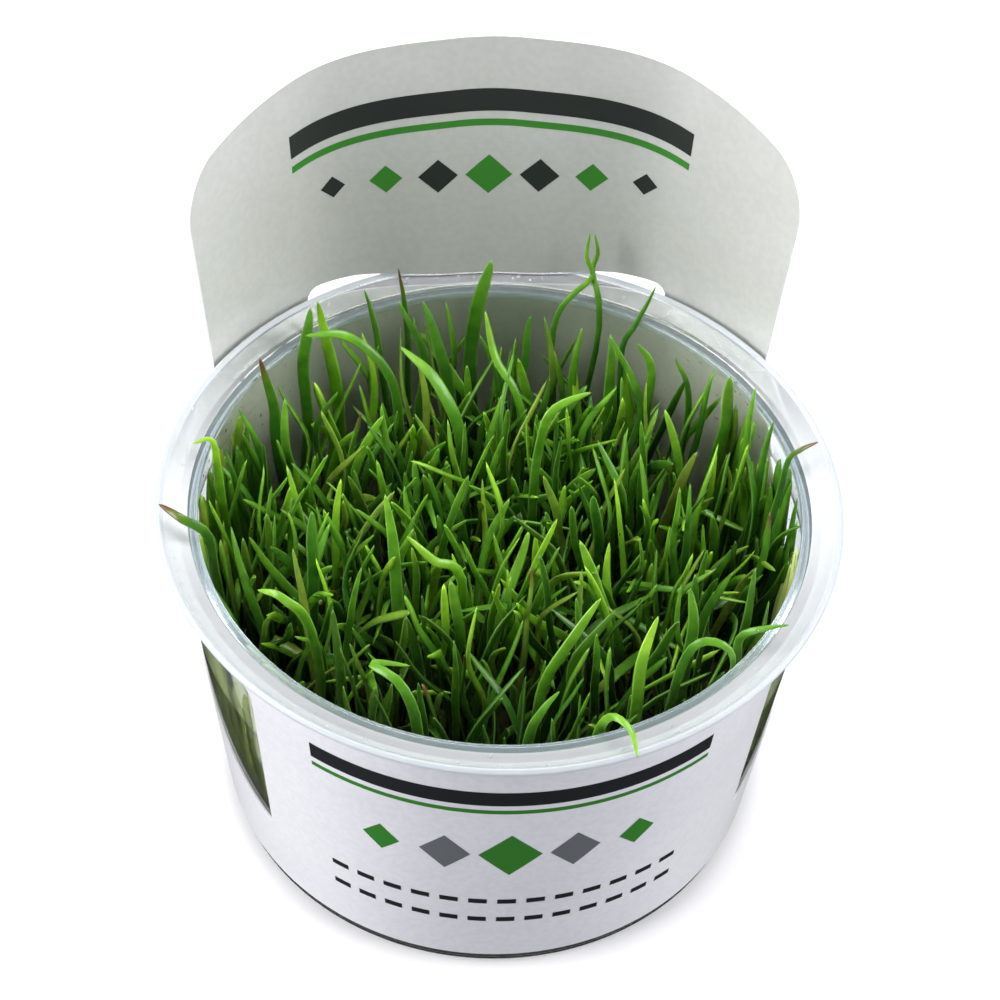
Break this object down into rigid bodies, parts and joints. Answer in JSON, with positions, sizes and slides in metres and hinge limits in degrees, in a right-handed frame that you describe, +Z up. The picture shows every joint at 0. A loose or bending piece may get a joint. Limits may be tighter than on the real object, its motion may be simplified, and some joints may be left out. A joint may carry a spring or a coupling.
{
  "type": "tissue culture plant cup",
  "caption": "Lilaeopsis brasiliensis grown from tissue culture: narrow strap leaves standing in nutrient gel in a clear flanged cup with a white card sleeve",
  "frame": {"origin": "centre of the cup's flat base, on the surface that it stands on", "axes": "+Z up along the cup's axis; -Y towards the sleeve's low front panel; +Y towards its tall back panel; +X to the right as seen from the front"},
  "size_m": [0.1004, 0.1025, 0.1025],
  "materials": {
    "clear_plastic": "clear thin-walled plastic, glossy",
    "white_card": "white coated card, satin",
    "olive_gel": "cloudy olive gel, moist",
    "leaf_mid_green": "mid green leaf, waxy sheen",
    "leaf_bright_green": "bright yellow-green leaf, waxy sheen",
    "leaf_dark_green": "dark green leaf, waxy sheen"
  },
  "bodies": {
    "root": {"cup": "clear_plastic", "card_sleeve": "white_card", "nutrient_gel": "olive_gel", "plantlet_01": "leaf_mid_green", "plantlet_02": "leaf_bright_green", "plantlet_03": "leaf_dark_green", "plantlet_04": "leaf_mid_green", "plantlet_05": "leaf_bright_green", "plantlet_06": "leaf_dark_green", "plantlet_07": "leaf_mid_green", "plantlet_08": "leaf_bright_green", "plantlet_09": "leaf_dark_green", "plantlet_10": "leaf_mid_green", "plantlet_11": "leaf_bright_green", "plantlet_12": "leaf_dark_green", "plantlet_13": "leaf_mid_green", "plantlet_14": "leaf_bright_green", "plantlet_15": "leaf_dark_green", "plantlet_16": "leaf_mid_green", "plantlet_17": "leaf_bright_green", "plantlet_18": "leaf_dark_green", "plantlet_19": "leaf_mid_green", "plantlet_20": "leaf_bright_green", "plantlet_21": "leaf_dark_green", "plantlet_22": "leaf_mid_green", "plantlet_23": "leaf_bright_green", "plantlet_24": "leaf_dark_green", "plantlet_25": "leaf_mid_green", "plantlet_26": "leaf_bright_green", "plantlet_27": "leaf_dark_green", "plantlet_28": "leaf_mid_green", "plantlet_29": "leaf_bright_green", "plantlet_30": "leaf_dark_green", "plantlet_31": "leaf_mid_green", "plantlet_32": "leaf_bright_green", "plantlet_33": "leaf_dark_green", "plantlet_34": "leaf_mid_green", "plantlet_35": "leaf_bright_green", "plantlet_36": "leaf_dark_green", "plantlet_37": "leaf_mid_green", "plantlet_38": "leaf_bright_green", "plantlet_39": "leaf_dark_green", "plantlet_40": "leaf_mid_green", "plantlet_41": "leaf_bright_green", "plantlet_42": "leaf_dark_green", "plantlet_43": "leaf_mid_green", "plantlet_44": "leaf_bright_green", "plantlet_45": "leaf_dark_green", "plantlet_46": "leaf_mid_green", "plantlet_47": "leaf_bright_green", "plantlet_48": "leaf_dark_green", "plantlet_49": "leaf_mid_green", "plantlet_50": "leaf_bright_green", "plantlet_51": "leaf_dark_green", "plantlet_52": "leaf_mid_green", "plantlet_53": "leaf_bright_green", "plantlet_54": "leaf_dark_green", "plantlet_55": "leaf_mid_green", "plantlet_56": "leaf_bright_green"}
  },
  "joints": []
}
